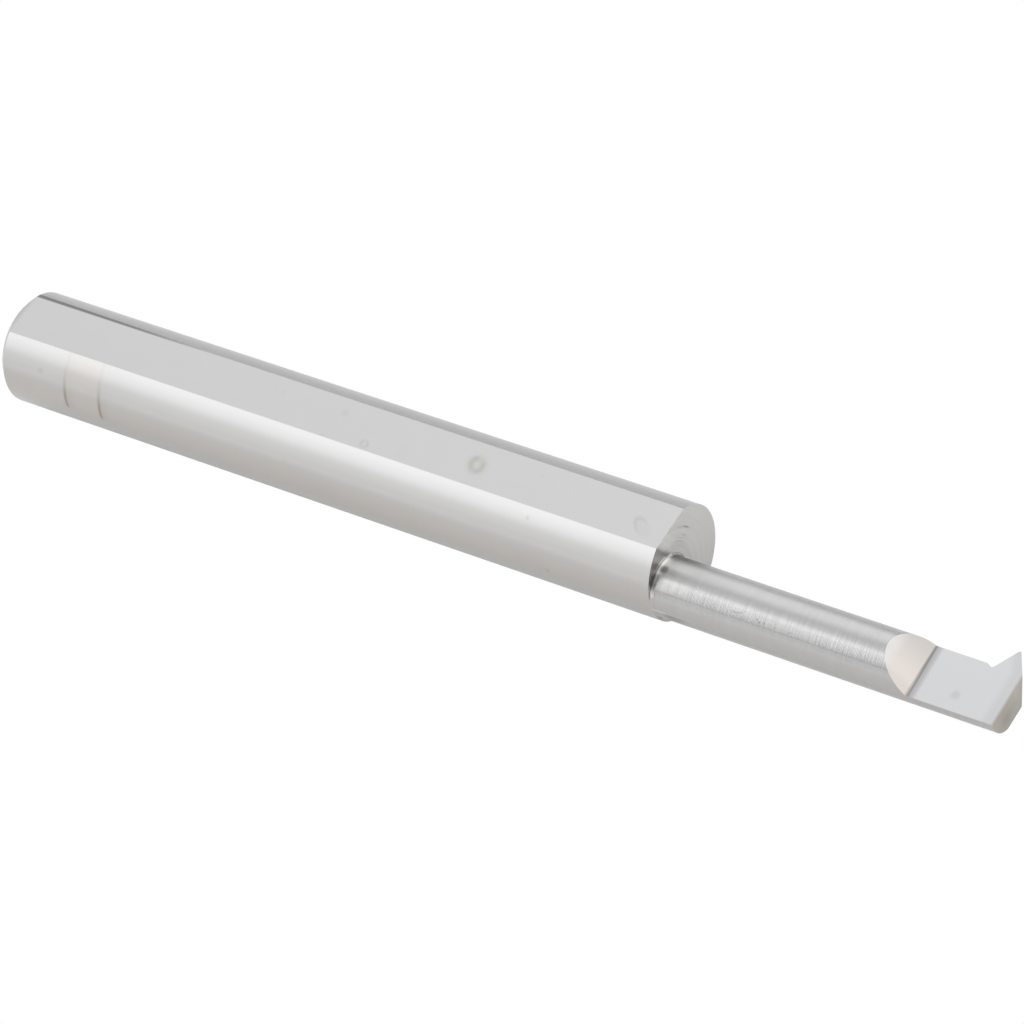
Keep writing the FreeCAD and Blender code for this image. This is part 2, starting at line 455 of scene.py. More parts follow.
def bar_surface(bar):
    """Every row of the bar, and the finish of the faces that follow each row, by span."""
    chamfer, shank = rear_chamfer_rows(bar), shank_length_rows(bar)
    neck, ramp, rake = neck_length_rows(bar), ramp_rows(bar), rake_rows(bar)
    notch, tooth = notch_rows(bar), tooth_rows(bar)
    rear_cap = between(np.array([bar.rear, 0, 0]), chamfer[0], 10)
    end_centre = np.array([bar.reach, bar.neck_y, bar.neck_z - bar.neck_r / 2])
    end_cap = between(tooth[-1], end_centre, 10)
    head = {"relief": "clearance", "heel": "clearance", "bottom": "clearance"}
    stretches = [
        (rear_cap, {}, "end_face"),
        (chamfer, {"top": "clamp_flat"}, "shank_round"),
        (shank, {"top": "clamp_flat"}, "shank_round"),
        (between(shank[-1], neck[0], 14), {}, "shoulder"),
        (neck, {}, "neck_round"),
        (ramp, {"top": "ramp"}, "neck_round"),
        (rake, {"top": "rake"}, "neck_round"),
        (notch, {"top": "rake", "relief": "clearance"}, "neck_round"),
        (tooth, {"top": "rake", "side": "clearance", **head}, "neck_round"),
        (end_cap, {}, "end_face"),
    ]
    rows, finish = [], []
    for part, by_span, other in stretches:
        names = [by_span.get(span, other) for span in SPANS for _ in range(COLUMNS[span])]
        row_finish = np.array([list(FINISHES).index(name) for name in names])
        rows.append(part)
        finish.append(np.broadcast_to(row_finish, (len(part), len(row_finish))))
    return np.concatenate(rows), np.concatenate(finish)


def ring_mesh(name, rows):
    """Mesh of quads between neighbouring rows and columns, closed round each row."""
    count, around = rows.shape[:2]
    number = np.arange(count * around).reshape(count, around)
    following = np.roll(number, -1, axis=1)
    quads = np.stack([number[:-1], number[1:], following[1:], following[:-1]], -1)
    mesh = bpy.data.meshes.new(name)
    mesh.from_pydata(rows.reshape(-1, 3).tolist(), [], quads.reshape(-1, 4).tolist())
    return mesh


def bar_mesh(name, rows, finish):
    """Closed mesh of the bar. Rows that meet in one place are merged; sharp edges stay sharp."""
    mesh = ring_mesh(name, rows * MM)
    mesh.polygons.foreach_set("material_index", finish[:-1].ravel().astype(np.int32))
    edit = bmesh.new()
    edit.from_mesh(mesh)
    bmesh.ops.remove_doubles(edit, verts=edit.verts, dist=MERGE)
    bmesh.ops.dissolve_degenerate(edit, edges=edit.edges, dist=MERGE)
    bmesh.ops.recalc_face_normals(edit, faces=edit.faces)
    edit.to_mesh(mesh)
    edit.free()
    mesh.shade_smooth()
    mesh.set_sharp_from_angle(angle=SHARP_ANGLE)
    return mesh


# Shader expressions


class Wire:
    """A shader socket in an expression. Sums, products and the like add Math nodes."""

    def __init__(self, graph, socket):
        self.graph = graph
        self.socket = socket

    def math(self, operation, *others):
        return self.graph.node("ShaderNodeMath", {"operation": operation}, [self, *others])

    def __add__(self, other):
        return self.math("ADD", other)

    def __sub__(self, other):
        return self.math("SUBTRACT", other)

    def __rsub__(self, other):
        return self.graph.node("ShaderNodeMath", {"operation": "SUBTRACT"}, [other, self])

    def __mul__(self, other):
        return self.math("MULTIPLY", other)

    def __truediv__(self, other):
        return self.math("DIVIDE", other)

    def __abs__(self):
        return self.math("ABSOLUTE")

    def squared(self):
        return self * self

    def root(self):
        return self.math("SQRT")

    __radd__ = __add__
    __rmul__ = __mul__


class Graph:
    """Node tree of a material or world, filled by expressions."""

    def __init__(self, owner):
        owner.use_nodes = True
        self.tree = owner.node_tree
        self.tree.nodes.clear()

    def node(self, kind, settings, inputs, output=0):
        """Adds a node with its settings and inputs, and gives one of its outputs."""
        made = self.tree.nodes.new(kind)
        for key, value in settings.items():
            setattr(made, key, value)
        for key, value in inputs.items() if isinstance(inputs, dict) else enumerate(inputs):
            if isinstance(value, Wire):
                self.tree.links.new(value.socket, made.inputs[key])
            else:
                made.inputs[key].default_value = value
        return Wire(self, made.outputs[output]) if made.outputs else None

    def ramp(self, wire, values, highest):
        """Values at equal steps from 0 to 1, as shares of the highest."""
        made = self.node("ShaderNodeValToRGB", {}, {"Fac": wire})
        elements = made.socket.node.color_ramp.elements
        elements.remove(elements[-1])
        for i, value in enumerate(values):
            place = i / (len(values) - 1)
            stop = elements.new(place) if i else elements[0]
            stop.position = place
            stop.color = (value / highest,) * 3 + (1,)
        return made

    def mix(self, kind, factor, first, second):
        """Colour between two colours (MIX), or the first one times the second (MULTIPLY)."""
        settings = {"data_type": "RGBA", "blend_type": kind, "clamp_factor": True}
        return self.node("ShaderNodeMix", settings, {0: factor, 6: first, 7: second}, output=2)

    def step(self, wire, start, end):
        """Smooth step of a value, from 0 at the start to 1 at the end, which may be the lower."""
        settings = {"interpolation_type": "SMOOTHSTEP"}
        return self.node("ShaderNodeMapRange", settings, [wire, start, end])

    def parts(self, vector):
        """The x, y and z of a vector."""
        return [self.node("ShaderNodeSeparateXYZ", {}, [vector], output=i) for i in range(3)]

    def vector(self, x, y, z):
        return self.node("ShaderNodeCombineXYZ", {}, [x, y, z])

    def noise(self, vector, scale, detail, roughness):
        """Noise from 0 to 1 about one half."""
        inputs = {"Vector": vector, "Scale": scale, "Detail": detail, "Roughness": roughness}
        return self.node("ShaderNodeTexNoise", {}, inputs)

    def white_to_camera(self, shader, kind):
        """The shader for all light, with bare white of the given kind where the camera looks."""
        bare = self.node(kind, {}, {"Color": (1, 1, 1, 1)})
        seen = self.node("ShaderNodeLightPath", {}, [], output="Is Camera Ray")
        return self.node("ShaderNodeMixShader", {}, [seen, shader, bare])


class Finish(Graph):
    """Material of one ground face, with the place on the bar in millimetres."""

    def __init__(self, name, look):
        self.material = bpy.data.materials.new(name)
        super().__init__(self.material)
        self.look = look
        places = self.node("ShaderNodeTexCoord", {}, [], output="Object")
        scale = {0: places, "Scale": 1 / MM}
        self.place = self.node("ShaderNodeVectorMath", {"operation": "SCALE"}, scale)
        self.x, self.y, self.z = self.parts(self.place)

    def streaks(self, x, y, z, detail=3.0, roughness=0.6):
        """Noise in coordinates of its own, that can draw it out one way."""
        return self.noise(self.vector(x, y, z), 1.0, detail, roughness)

    def cloud(self, scale, detail=3.0, roughness=0.6):
        """Noise in soft spots all over the bar."""
        return self.noise(self.place, scale, detail, roughness)

    def around(self, centre_y, centre_z):
        """Angle in degrees about a line along X, from +Y towards +Z."""
        return (self.z - centre_z).math("ARCTAN2", self.y - centre_y) * math.degrees(1)

    def bell(self, wire, centre, width):
        """One at the centre, falling off as a bell curve of that width."""
        return (((wire - centre) / width).squared() * -1.0).math("EXPONENT")

    def band(self, wire, low, high, soft):
        """One between two values, with soft ends."""
        return self.step(wire, low - soft, low + soft) * self.step(wire, high + soft, high - soft)

    def distance_to(self, across, along, centre):
        """How far a place is from a centre, both as two coordinates in millimetres."""
        return ((across - centre[0]).squared() + (along - centre[1]).squared()).root()

    def spot(self, across, along, centre, inner, outer):
        """One within the inner distance of a centre, and nought from the outer one on."""
        return self.step(self.distance_to(across, along, centre), outer, inner)

    def leaning(self, centre):
        """Way across and along a drop from its middle on the flat. Drops lean by thirty degrees."""
        off_x, off_y = self.x - centre[0], self.y - centre[1]
        return off_x + off_y * 0.54, off_x * 0.33 - off_y * 0.86

    def carbide(self, tone):
        """Starts the colour as the carbide's own, times a tone."""
        self.base = self.mix("MULTIPLY", 1.0, (*self.look.carbide, 1), self.vector(tone, tone, tone))

    def tint(self, tint, factor):
        """Multiplies the colour by a tint or a plain number, as far as the factor goes."""
        tint = tint if isinstance(tint, tuple) else (tint,) * 3
        self.base = self.mix("MULTIPLY", factor, self.base, (*tint, 1))

    def stain(self, factor):
        """Covers the colour by the brown of dried coolant, as far as the factor goes."""
        self.base = self.mix("MIX", factor, self.base, (*self.look.stain, 1))

    def residue_and_shade(self, factor):
        """Covers the colour by the dark grey of grinding residue, as far as the factor goes. The same grey
        also paints shade and dark reflections.
        """
        self.base = self.mix("MIX", factor, self.base, (*self.look.residue_and_shade, 1))

    def finish(self, roughness, bump, depth):
        """Principled shader of bare metal, with a bump of the given depth in metres."""
        height = {"Distance": depth, "Height": bump}
        shader = self.node("ShaderNodeBsdfPrincipled", {}, {
            "Base Color": self.base,
            "Metallic": 1.0,
            "Roughness": roughness,
            "Normal": self.node("ShaderNodeBump", {}, height),
        })
        self.node("ShaderNodeOutputMaterial", {}, {"Surface": shader})
        return self.material


# Marks on the shank. Rings by their place along X; spots by place along X and angle or y, radius
# and strength
COOLANT_RINGS = [-38.6, -36.2]
ROUND_SPOTS = [(-7.78, 127.0, 0.16, 0.22), (-6.4, 176.0, 0.2, 0.22), (-40.33, 143.6, 0.24, 0.16)]
FLAT_SPECKS = [
    (-21.01, 0.47, 0.32, 0.8), (-25.75, 0.67, 0.14, 0.6), (-25.5, 0.6, 0.1, 0.5), (-25.2, 0.52, 0.22, 0.6),
    (-21.4, -1.26, 0.14, 1.0), (-8.3, 0.6, 0.2, 0.4),
]


def shank_round_finish(f, bar):
    """Cylindrically ground: fine rings round the bar, with brown rings near the rear end."""
    theta = f.around(0.0, 0.0)
    rings = f.streaks(f.x * 9.0, theta * 0.02, 0.0)
    cloud = f.cloud(0.35)
    f.carbide(0.965 + rings * 0.03 + cloud * 0.04)
    # A faint warm film low on the near side, stronger about the two rings
    low = (f.y * -0.8 + f.z * -0.6) / bar.shank_r
    f.tint((1.02, 1.0, 0.96), f.step(low, -0.05, 0.7))
    f.tint((1.025, 0.988, 0.978), f.band(theta, 162, 180, 8.0) * (0.4 + cloud))
    # Painted highlight: a thin band on the round beside the far edge of the flat is lighter
    f.tint(1.07, f.bell(theta, 61.0, 3.0))
    wet = f.band(f.x, COOLANT_RINGS[0], COOLANT_RINGS[1], 0.9)
    wet = wet * (f.step(theta, 106, 116) - f.step(theta, 140, 165) * 0.6)
    f.tint((1.015, 0.99, 0.965), wet)
    # Coolant that dried in two rings, darkest low down, each with a faint tail
    wander = (f.streaks(f.x * 0.3, theta * 0.05, 0.0, 2.0, 0.5) - 0.5) * 0.12
    depth = f.step(theta, 128, 172) * f.step(theta, 181, 174)
    faint = f.band(theta, 114, 140, 4.0) * 0.12
    breaks = 0.6 + f.streaks(0.0, theta * 0.12, 2.0, 2.0, 0.6) * 0.7
    for place in COOLANT_RINGS:
        off = f.x + wander
        tail = f.band(off, place, place + 0.55, 0.2) * 0.09
        ring = f.bell(off, place, 0.1) * breaks * 0.72
        f.stain(ring * (depth + faint) + tail * depth)
    # Dark line painted along the far edge of the flat, from the rear end: a painted dark reflection
    edge = math.degrees(math.asin(bar.flat_height / bar.shank_r))
    fading = f.step(f.x, -29.0, -37.5)
    inner = f.step(theta - (f.x + 41.0) * 0.3, edge - 5.0, edge - 2.8)
    line = inner * f.step(theta, edge + 5.2, edge + 2.8) * fading
    f.residue_and_shade(line * (0.75 + cloud * 0.2))
    arc = theta * (math.pi / 180 * bar.shank_r)
    for along, degrees, radius, strength in ROUND_SPOTS:
        centre = (along, math.radians(degrees) * bar.shank_r)
        f.stain(f.spot(f.x, arc, centre, radius * 0.3, radius) * strength)
    return f.finish(f.look.shank_gloss + rings * 0.02, rings, 0.8e-6)


def flat_finish(f, bar):
    """Surface ground flat, satin, with fine lines along the bar and marks of dried drops."""
    lines = f.streaks(f.x * 0.25, f.y * 14.0, 0.0)
    cloud = f.cloud(0.8, 4.0, 0.6)
    f.carbide(1.062 + lines * 0.02 + cloud * 0.05 + f.x * 0.001)
    wobble = (f.cloud(2.6, 2.0, 0.5) - 0.5) * 0.22
    # One round drop, darker in a crescent on either side of its pale middle
    across, along = f.leaning((-12.09, -0.03))
    off = f.distance_to(across, along, (0.0, 0.0)) + wobble * 0.7
    crescents = 0.4 + f.bell(across + along * 0.6, -0.42, 0.3) + f.bell(across + along, 0.48, 0.3) * 0.8
    f.tint((0.86, 0.855, 0.845), f.bell(off, 0.38, 0.17) * crescents)
    f.tint((0.96, 0.955, 0.935), f.step(off, 0.95, 0.45))
    f.tint((1.01, 1.005, 1.0), f.step(off, 0.3, 0.1))
    # One fainter, longer drop with an uneven rim
    across, along = f.leaning((-1.48, -0.43))
    off = f.distance_to((across - along * 0.35) / 0.42, along / 0.58, (0.0, 0.0)) + wobble
    upper = 0.35 + f.step(across + along, 0.3, -0.5) * 0.8
    f.tint((0.89, 0.89, 0.875), f.bell(off, 0.9, 0.24) * upper)
    f.tint((0.975, 0.97, 0.955), f.step(off, 0.8, 0.5))
    # One small drop near the edge, of two crescents
    across, along = f.leaning((-18.79, -1.0))
    off = f.distance_to(across, along, (0.0, 0.0))
    halves = 0.4 + abs(across + along * 0.4) * 2.6
    f.tint((0.88, 0.875, 0.86), f.bell(off, 0.2, 0.1) * halves)
    for along, across, radius, strength in FLAT_SPECKS:
        speck = f.spot(f.x, f.y, (along, across), radius * 0.2, radius)
        f.tint((0.93, 0.925, 0.92), speck * strength)
    # Duller strip along the rear rim, and a dark line painted along the far rim near the rear end, as a
    # painted dark reflection
    f.tint((0.84, 0.84, 0.85), f.step(f.x, bar.rear + 0.5, bar.rear + 0.15))
    f.residue_and_shade(f.step(f.y, 1.29, 1.36) * f.step(f.x, -29.5, -36.5) * 0.85)
    return f.finish(f.look.flat_gloss + cloud * 0.03, lines, 0.3e-6)


# Dark dashes that follow the shoulder's rings: radius, angle about the neck's axis, half its
# length in degrees, strength
SHOULDER_DASHES = [
    (3.185, 34.0, 6.0, 0.85), (3.17, 46.0, 5.0, 0.4), (2.77, 33.0, 5.0, 0.35), (2.58, 38.0, 9.0, 0.2),
    (2.40, 40.0, 12.0, 0.2),
]


def shoulder_finish(f, bar):
    """Face ground with the edge of the wheel that made the neck: rings about the neck's axis."""
    radius = f.distance_to(f.y, f.z, (bar.neck_y, bar.neck_z))
    turn = f.around(bar.neck_y, bar.neck_z)
    rings = f.streaks(radius * 9.0, turn * 0.01, 0.0, 3.0, 0.65)
    cloud = f.cloud(0.9)
    light_ring = f.bell(radius, 2.93, 0.12) * f.bell(turn, 25.0, 35.0)
    upper = f.step(turn, 50.0, 85.0) * 0.07
    deep = f.streaks(radius * 14.0, turn * 0.02, 5.0, 2.0, 0.6) - 0.5
    deep = deep * f.band(radius, 1.9, 2.8, 0.15) * 0.25
    f.carbide(1.05 + rings * 0.40 + deep + cloud * 0.04 + light_ring * 0.05 + upper)
    f.tint((0.93, 0.92, 0.895), f.step(radius + (cloud - 0.5) * 0.3, 2.45, 2.2))
    f.tint((1.0, 0.99, 0.965), 1.0)
    # Painted light: the part of the face below the neck is lighter
    f.tint((1.2, 1.19, 1.18), f.step(turn, -100.0, -120.0))
    # Behind the neck a darker part with a straight upper border and streaks is painted, as a painted dark
    # reflection of the neck
    side = f.y + f.z * 0.456
    streaks = f.streaks(side * 7.0, f.z * 0.8, 3.0, 2.0, 0.6)
    dark = f.step(side, 0.0, -0.12) * f.step(turn, 0.0, 30.0)
    f.tint((0.62, 0.615, 0.61), dark * (0.25 + streaks * 0.7))
    # Painted dark reflection in a band on the near side, and painted light in the band below it
    f.tint(0.6, f.band(turn, 113.0, 128.0, 4.0))
    f.tint((1.7, 1.69, 1.67), f.band(turn, 132.0, 172.0, 5.0))
    # Painted highlight: it is bright again close to the fillet, and a little lighter in two strips beside
    # the painted dark reflection
    f.tint((2.1, 2.08, 2.04), f.step(radius, 1.96, 1.86) * f.band(turn, 74.0, 103.0, 5.0))
    f.tint(1.10, f.band(side, 0.0, 0.5, 0.06) * f.step(turn, 50.0, 66.0))
    f.tint(1.05, f.band(side, 0.5, 1.0, 0.1) * f.step(turn, 44.0, 60.0))
    for place, middle, half, strength in SHOULDER_DASHES:
        dash = f.bell(radius, place, 0.04) * f.bell(turn, middle, half)
        f.residue_and_shade(dash * strength)
    return f.finish(f.look.neck_gloss + 0.05, rings, 1.5e-6)


# Small spots on the neck: place along X, angle about its axis, radius, strength
NECK_SPOTS = [
    (6.3, 126.5, 0.08, 0.45), (6.5, 129.5, 0.07, 0.45), (6.75, 128.7, 0.07, 0.4), (8.3, 131.0, 0.08, 0.3),
]
# Millimetres round the neck for each degree
NECK_ARC = 0.029


def neck_round_finish(f, bar):
    """Neck ground across: fine rings round it that spread each light along the bar."""
    theta = f.around(bar.neck_y, bar.neck_z)
    coarse = f.streaks(f.x * 5.0, theta * 0.01, 0.0)
    cloud = f.cloud(0.6)
    # Fine lines across the bright band, as the wheel left them
    lines = f.streaks(f.x * 13.0, theta * 0.012, 7.0, 2.0, 0.6) - 0.5
    lines = lines * (0.05 + f.band(theta, 98, 136, 3.0) * 0.22)
    # Rings finer than the eye sees: two waves along the bar whose lengths have no common measure
    fine = (f.x * 131.0).math("SINE") + (f.x * 212.0).math("SINE") * 0.62
    f.carbide(0.905 + coarse * 0.14 + cloud * 0.05 + lines)
    low = ((f.y - bar.neck_y) * -0.8 + (f.z - bar.neck_z) * -0.6) / bar.neck_r
    f.tint((1.02, 1.0, 0.985), f.step(low, 0.0, 0.6))
    # Painted reflections: some bands round the neck are lighter, some darker, by their angle
    f.tint(0.95, f.bell(theta, 150.0, 6.0))
    f.tint(0.97, f.band(theta, 148.0, 172.0, 3.0))
    f.tint(1.15, f.bell(theta, 129.5, 11.0))
    f.tint(1.05, f.band(theta, 109.8, 118.0, 1.2))
    f.tint((1.09, 1.09, 1.085), f.bell(theta, 64.0, 9.0))
    f.tint(0.965, f.bell(theta, 89.0, 6.0))
    # Painted highlight: the two bright bands are lighter near the shoulder
    bright = f.band(theta, 70, 90, 6.0) + f.band(theta, 110, 134, 3.0)
    f.tint((1.14, 1.14, 1.13), f.step(f.x, 2.3, 0.9) * bright)
    # Painted shade and painted light: the far side is darker towards the shoulder, the underside lighter
    f.tint((0.46, 0.46, 0.455), f.step(f.x, 2.4, 0.8) * f.step(theta, 68, 44))
    under = f.step(f.z, 0.05, -0.2) * f.step(f.y, -2.2, -2.6)
    f.tint(1.22, under * f.step(f.x, 2.0, 0.9))
    f.tint((1.7, 1.69, 1.64), under * f.step(f.x, 1.2, 0.5))
    # Painted shade in the corner at the top, a patch of residue, and a painted highlight as a bright spot
    # beside it. The fillet is painted bright where it faces up and painted dark below and behind: painted
    # highlight and painted shade
    f.residue_and_shade(f.bell(theta, 53.0, 3.2) * f.step(f.x, 2.2, 0.7) * 0.65)
    arc = theta * NECK_ARC
    f.residue_and_shade(f.spot(f.x, arc, (0.29, 94.5 * NECK_ARC), 0.08, 0.34) * 0.75)
    trail = f.spot(f.x * 0.7, arc, (0.8 * 0.7, 95.5 * NECK_ARC), 0.05, 0.34)
    f.residue_and_shade(trail * 0.1)
    fillet = f.step(f.x, bar.root_fillet + 0.06, bar.root_fillet - 0.04)
    f.tint((1.2, 1.18, 1.15), fillet * f.band(theta, 66, 88, 6.0))
    f.residue_and_shade(fillet * f.band(theta, 109, 132, 4.0) * 0.75)
    # Painted shade on the flare, and painted highlights and painted shade round the root's edge by angle
    flare = f.step(f.x, 0.42, 0.2)
    f.residue_and_shade(flare * f.band(theta, 105, 119, 4.0) * 0.4)
    edge = f.step(f.x, 0.08, 0.03)
    f.tint((1.45, 1.44, 1.42), (fillet - edge) * f.band(theta, 137, 150, 4.0))
    f.tint((0.55, 0.55, 0.54), edge * f.band(theta, 110, 136, 4.0))
    f.tint((1.7, 1.68, 1.64), edge * f.band(theta, 20, 60, 6.0))
    f.tint((1.25, 1.24, 1.21), (flare - fillet) * f.band(theta, 64, 84, 5.0))
    # Painted highlight: the bright spot beside the patch
    f.tint((1.3, 1.29, 1.26), f.spot(f.x, arc, (0.2, 104.5 * NECK_ARC), 0.05, 0.15))
    # Thin dark line along the bar below the bright band, broken into specks: a painted dark reflection
    grains = f.streaks(f.x * 5.0, theta * 0.6, 1.0, 2.0, 0.6)
    line = f.bell(theta, 136.3, 1.1) * (0.3 + f.step(grains, 0.42, 0.6)) * f.band(f.x, 0.8, 14.6, 0.4)
    f.residue_and_shade(line * 0.2)
    # One pale drop in the bright band, longer along the neck, with a dark lower rim
    f.tint((1.02, 1.02, 1.01), f.spot(f.x, theta * 0.046, (5.08, 119.0 * 0.046), 0.2, 0.4))
    along = f.x - 5.12
    rim = f.bell(theta + along * 5.7 + along.squared() * 14.0, 126.0, 2.2) * f.band(f.x, 4.75, 5.4, 0.1)
    f.residue_and_shade(rim * 0.22)
    for along, degrees, radius, strength in NECK_SPOTS:
        spot = f.spot(f.x, arc, (along, degrees * NECK_ARC), radius * 0.3, radius)
        f.residue_and_shade(spot * strength)
    return f.finish(f.look.neck_gloss, fine + coarse * 0.6, 1.9e-6)


def ramp_finish(f, bar):
    """Freshly ground ramp, bright and slightly pink, darker to the far side."""
    lines = f.streaks(f.z * 12.0, f.y * 1.5, 0.0)
    cloud = f.cloud(1.1)
    far = f.step(f.y, -2.3, 0.2)
    f.carbide(1.16 + lines * 0.03 + cloud * 0.05 - far * 0.22)
    high = f.step(f.z, 0.9, 1.4)
    f.tint((1.055, 0.985, 0.925), 1.0 - high * 0.6 - far * 0.3)
    f.tint(1.06, high)
    f.tint((1.07, 1.07, 1.06), high * f.step(f.y, -1.8, -1.2))
    f.tint(0.94, f.step(f.y, -2.3, -2.8))
    # Darker along the foot of the ramp, in the corner
    foot = f.step(f.z, 0.07, 0.0)
    f.residue_and_shade(foot * (0.35 + f.step(f.y, -2.8, -0.8) * 0.38))
    return f.finish(0.3 + lines * 0.04, lines, 0.6e-6)


def rake_finish(f, bar):
    """Polished rake face, with a dull strip at the foot of the ramp and a dark line painted along that
    corner.
    """
    lines = f.streaks(f.x * 2.0, f.y * 9.0, 0.0)
    cloud = f.cloud(0.9)
    f.carbide(1.10 + lines * 0.02 + cloud * 0.03)
    f.tint((0.995, 1.0, 1.015), 1.0)
    # The dull strip fades out away from the ramp; the line keeps to the foot of the ramp
    slant = f.x + (f.y + 1.5) * 0.025
    strip = f.step(slant, bar.foot_x + 0.6, bar.foot_x + 0.12)
    f.tint((0.80, 0.795, 0.80), strip * (0.85 + cloud * 0.3))
    f.tint((0.93, 0.925, 0.925), f.band(slant, bar.foot_x + 0.2, bar.foot_x + 0.42, 0.06))
    # Dark line painted along the foot of the ramp
    line = f.bell(f.x + f.y * 0.027, bar.foot_x + 0.045, 0.065)
    f.residue_and_shade(line * 0.7)
    # Worn towards the end, and tarnished along the last of the cutting edge
    lean = f.y.math("MAXIMUM", 0.0) * 0.4
    f.tint((0.915, 0.915, 0.91), f.step(f.x + lean, bar.reach - 0.9, bar.reach - 0.35))
    ragged = f.x + (f.cloud(7.0, 2.0, 0.6) - 0.5) * 0.1
    f.tint((0.80, 0.79, 0.74), f.step(ragged, bar.reach - 0.13, bar.reach - 0.05))
    off = f.distance_to(f.x + f.y * 0.54, f.y * 0.86 - f.x * 0.33, (16.29, -7.69))
    f.tint((0.895, 0.90, 0.89), f.step(off + (cloud - 0.5) * 0.2, 0.4, 0.1))
    return f.finish(0.22 + strip * 0.12, lines, 0.3e-6)


def clearance_finish(f, bar):
    """Ground clearance under the tooth, with fine lines along the relief."""
    lines = f.streaks(f.x * 12.0, f.z * 1.5, 0.0)
    cloud = f.cloud(0.9)
    f.carbide(0.88 + lines * 0.06 + cloud * 0.06)
    f.tint((1.01, 1.0, 0.97), 1.0)
    return f.finish(0.28 + lines * 0.04, lines, 0.8e-6)


def end_face_finish(f, bar):
    """Ground end, tarnished gold near the cutting edge and brown towards its middle."""
    lines = f.streaks(f.y * 1.5, f.z * 12.0, 0.0)
    cloud = f.cloud(1.4)
    f.carbide(0.88 + lines * 0.05 + cloud * 0.08)
    f.tint((1.03, 0.97, 0.89), 1.0)
    cutting = f.step(f.x, 0.0, 1.0)
    gold = f.bell(f.distance_to(f.y, f.z, (-0.8, -0.28)), 0.0, 0.3) * cutting
    f.tint((1.17, 1.15, 1.08), gold)
    left = f.bell(f.distance_to(f.y, f.z, (-2.4, -0.15)), 0.0, 0.45)
    f.tint((1.0, 0.97, 0.92), left * cutting)
    brown = f.bell(f.distance_to(f.y, f.z, (-2.0, -0.9)), 0.0, 0.55)
    f.tint((0.84, 0.80, 0.76), brown * cutting)
    return f.finish(0.32, lines, 0.8e-6)


# How each kind of ground face is finished, in the order of the mesh's materials
FINISHES = {
    "shank_round": shank_round_finish,
    "clamp_flat": flat_finish,
    "shoulder": shoulder_finish,
    "neck_round": neck_round_finish,
    "ramp": ramp_finish,
    "rake": rake_finish,
    "clearance": clearance_finish,
    "end_face": end_face_finish,
}


class THREADTOOL_OT_bar(bpy.types.Operator):
    """Makes the ground carbide bar, with a finish for each kind of ground face"""

    bl_idname = "threadtool.bar"
    bl_label = "Ground bar"

    def execute(self, context):
        bar = Bar(context.scene.threading_tool_sizes)
        rows, finish = bar_surface(bar)
        mesh = bar_mesh("ground_bar", rows, finish)
        look = context.scene.threading_tool_finish
        for name, lay in FINISHES.items():
            mesh.materials.append(lay(Finish(name, look), bar))
        piece = bpy.data.objects.new("ground_bar", mesh)
        context.scene.collection.objects.link(piece)
        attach(piece, BODY)
        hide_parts(NODE)
        return {"FINISHED"}


# Light of the room and of the bright panel at equal steps of the angle about X, from the far side
# over the top to the near side
ROOM_LIGHT = [
    0.52, 0.80, 1.32, 1.90, 1.83, 1.61, 1.69, 1.42, 0.88, 1.02, 1.23, 1.39, 1.52, 1.23, 0.89, 0.73,
    0.48, 0.29, 0.69, 1.10, 2.09,
]
PANEL_LIGHT = [0.0] * 11 + [0.49, 1.04, 1.34, 1.46, 1.60, 1.53, 1.22, 1.09, 0.0, 0.0]
BRIGHTEST = 2.2
# Middle of the panel, as a direction along X, and how softly it ends
PANEL_MIDDLE = -0.5
PANEL_SOFT = 0.12
# Places along Y in millimetres where the table starts to glow more and where it glows most
GLOW_START = -0.5
GLOW_FULL = -5.5


def room(stage):
    """World light: a soft white room with a long bright panel overhead on the near side.

    Both follow the angle about X. The panel also fades out either side of its middle,
    which lies where the camera's line of sight mirrors along X.
    """
    world = bpy.data.worlds.new("soft_room")
    graph = Graph(world)
    x, y, z = graph.parts(graph.node("ShaderNodeTexCoord", {}, [], output="Generated"))
    around = z.math("ARCTAN2", y) / math.pi
    half = stage.panel_half
    fade = graph.step(abs(x - PANEL_MIDDLE), half + PANEL_SOFT, half - PANEL_SOFT)
    panel = graph.ramp(around, PANEL_LIGHT, BRIGHTEST) * fade * stage.panel_light
    light = (graph.ramp(around, ROOM_LIGHT, BRIGHTEST) + panel) * (BRIGHTEST * stage.room_light)
    glow = graph.node("ShaderNodeBackground", {}, {"Color": graph.vector(light, light, light)})
    shader = graph.white_to_camera(glow, "ShaderNodeBackground")
    graph.node("ShaderNodeOutputWorld", {}, {"Surface": shader})
    return world


def table_top(stage, height):
    """Round white table top, as a fan of rings about its middle. It shows bare white itself."""
    radius = np.array([0, 0.02, 0.1, 0.5, 1.0]) * stage.table_radius
    turn = np.linspace(0, 2 * math.pi, 96, endpoint=False)
    x, y = radius[:, None] * np.cos(turn), radius[:, None] * np.sin(turn)
    mesh = ring_mesh("table_top", np.stack([x, y, np.full_like(x, height)], -1))
    edit = bmesh.new()
    edit.from_mesh(mesh)
    bmesh.ops.remove_doubles(edit, verts=edit.verts, dist=MERGE)
    edit.to_mesh(mesh)
    edit.free()
    material = bpy.data.materials.new("lit_table")
    graph = Graph(material)
    white = (stage.table_white,) * 3 + (1,)
    y = graph.parts(graph.node("ShaderNodeTexCoord", {}, [], output="Object"))[1]
    glow = 1.0 + graph.step(y, GLOW_START * MM, GLOW_FULL * MM) * stage.near_glow
    matt = graph.node("ShaderNodeBsdfPrincipled", {}, {
        "Base Color": white,
        "Roughness": 0.9,
        "Specular IOR Level": 0.0,
        "Emission Color": graph.vector(glow, glow, glow),
        "Emission Strength": stage.table_glow,
    })
    shader = graph.white_to_camera(matt, "ShaderNodeEmission")
    graph.node("ShaderNodeOutputMaterial", {}, {"Surface": shader})
    mesh.materials.append(material)
    return bpy.data.objects.new("table_top", mesh)


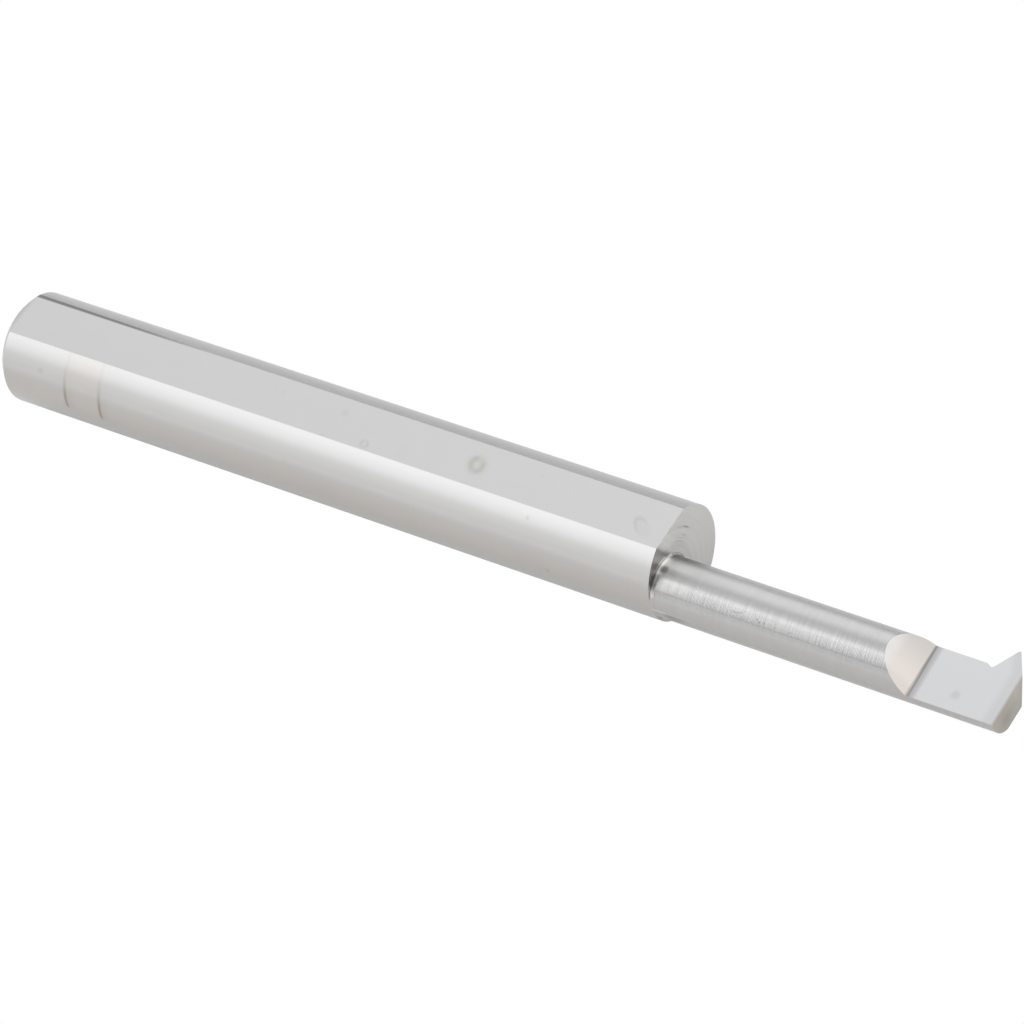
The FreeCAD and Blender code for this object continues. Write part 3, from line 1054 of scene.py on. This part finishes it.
def camera(stage):
    """Camera at the photograph's viewing angle, rolled about its line of sight."""
    turn, tilt, roll = stage.camera_turn, stage.camera_tilt, stage.camera_roll
    level = math.cos(tilt)
    forward = Vector((level * math.sin(turn), level * math.cos(turn), -math.sin(tilt)))
    level_right = Vector((math.cos(turn), -math.sin(turn), 0))
    level_up = level_right.cross(forward)
    right = level_right * math.cos(roll) + level_up * math.sin(roll)
    up = right.cross(forward)
    data = bpy.data.cameras.new("camera")
    data.lens = stage.lens
    data.sensor_width = 36
    data.clip_start = 0.01
    data.clip_end = 20
    made = bpy.data.objects.new("camera", data)
    spot = Vector(stage.aim) - forward * stage.camera_distance
    turned = Matrix((right, up, -forward)).transposed()
    made.matrix_world = Matrix.Translation(spot) @ turned.to_4x4()
    return made


class THREADTOOL_OT_stage(bpy.types.Operator):
    """Makes the lit white table, the soft light of the room and the camera"""

    bl_idname = "threadtool.stage"
    bl_label = "Table, light and camera"

    def execute(self, context):
        scene = context.scene
        stage = scene.threading_tool_stage
        table = table_top(stage, CAD_LOW.z)
        scene.collection.objects.link(table)
        scene.world = room(stage)
        view = camera(stage)
        scene.collection.objects.link(view)
        scene.camera = view
        scene.view_settings.view_transform = "Standard"
        return {"FINISHED"}


class THREADTOOL_PT_panel(bpy.types.Panel):
    """Sizes, finish and stage of the threading tool, with a button for each step"""

    bl_idname = "THREADTOOL_PT_panel"
    bl_label = "Threading tool"
    bl_space_type = "VIEW_3D"
    bl_region_type = "UI"
    bl_category = "Threading tool"

    def draw(self, context):
        scene = context.scene
        for name, group in GROUPS.items():
            column = self.layout.column(align=True)
            for size in group.__annotations__:
                column.prop(getattr(scene, name), size)
        for operator in OPERATORS:
            self.layout.operator(operator.bl_idname)


OPERATORS = (THREADTOOL_OT_bar, THREADTOOL_OT_stage)
GROUPS = {
    "threading_tool_sizes": ThreadingToolSizes,
    "threading_tool_finish": ThreadingToolFinish,
    "threading_tool_stage": ThreadingToolStage,
}


def register():
    for group in GROUPS.values():
        bpy.utils.register_class(group)
    for name, group in GROUPS.items():
        setattr(bpy.types.Scene, name, bpy.props.PointerProperty(type=group))
    for operator in OPERATORS:
        bpy.utils.register_class(operator)
    bpy.utils.register_class(THREADTOOL_PT_panel)


def unregister():
    bpy.utils.unregister_class(THREADTOOL_PT_panel)
    for operator in reversed(OPERATORS):
        bpy.utils.unregister_class(operator)
    for name, group in GROUPS.items():
        delattr(bpy.types.Scene, name)
        bpy.utils.unregister_class(group)


def main():
    register()
    bpy.ops.threadtool.bar()
    bpy.ops.threadtool.stage()


if __name__ == "__main__":
    main()
